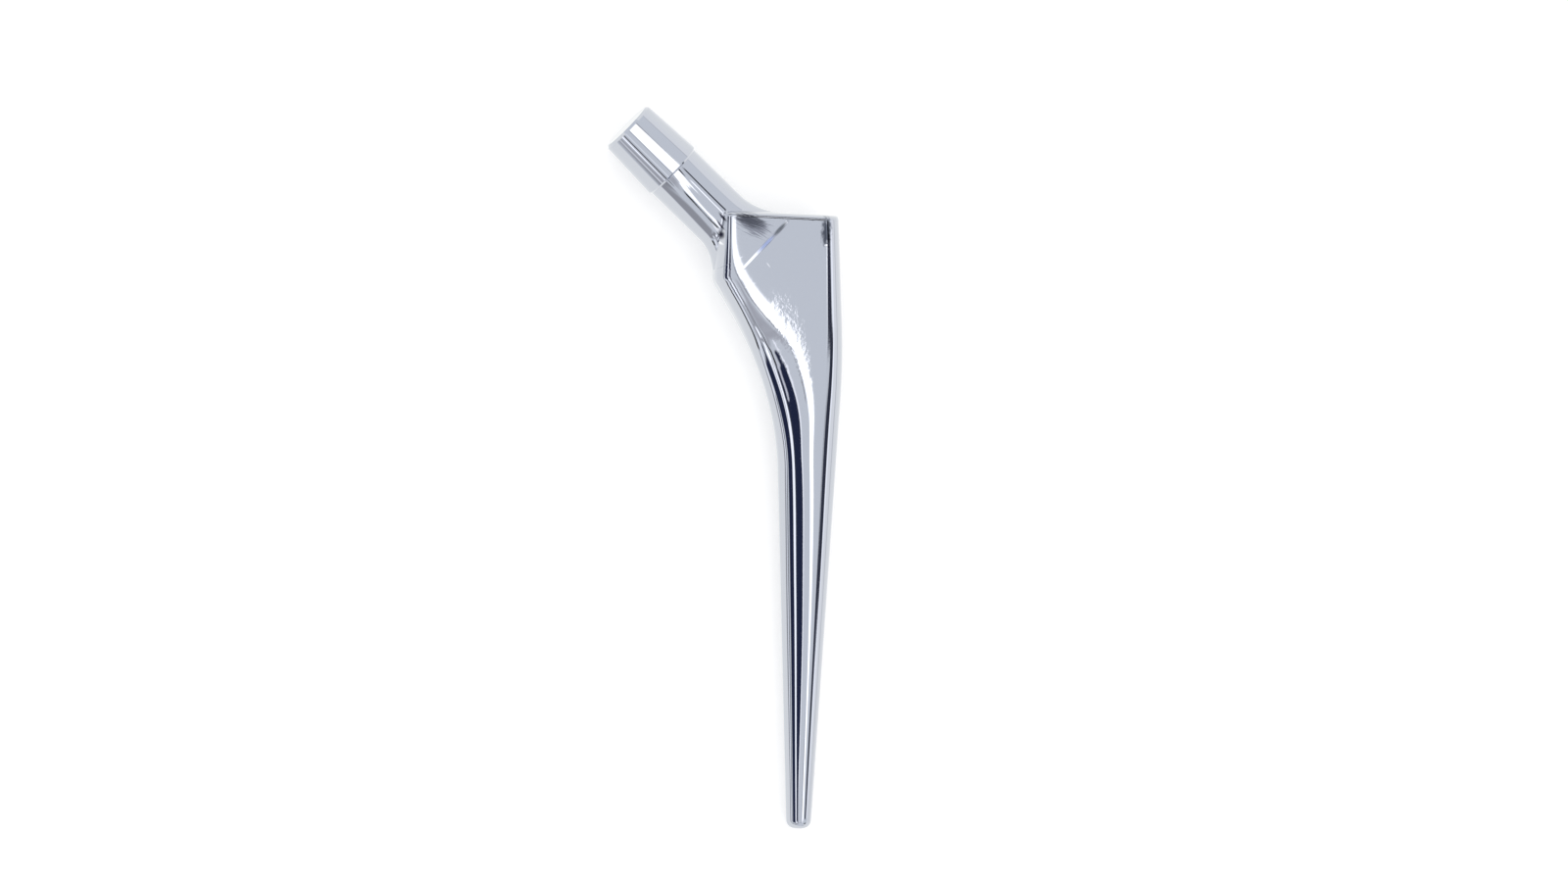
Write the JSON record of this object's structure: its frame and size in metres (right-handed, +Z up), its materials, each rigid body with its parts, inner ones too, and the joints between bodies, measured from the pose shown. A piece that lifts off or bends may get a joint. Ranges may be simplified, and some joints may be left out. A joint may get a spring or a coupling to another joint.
{
  "type": "hip implant stem",
  "caption": "One-piece polished metal femoral stem: slim tapered shaft, square shoulder, leaning neck and a conical taper for the ball head.",
  "frame": {"origin": "centre of the bounding box's base, on the ground under the lying stem", "axes": "+Y up the shaft from the tip towards the shoulder, +X lateral, away from the neck's lean, and +Z up from the ground, out of the engraved front face"},
  "size_m": [0.0528, 0.1566, 0.0144],
  "materials": {
    "polished_metal": "mirror polished implant steel"
  },
  "bodies": {
    "root": {"femoral_stem": "polished_metal"}
  },
  "joints": []
}
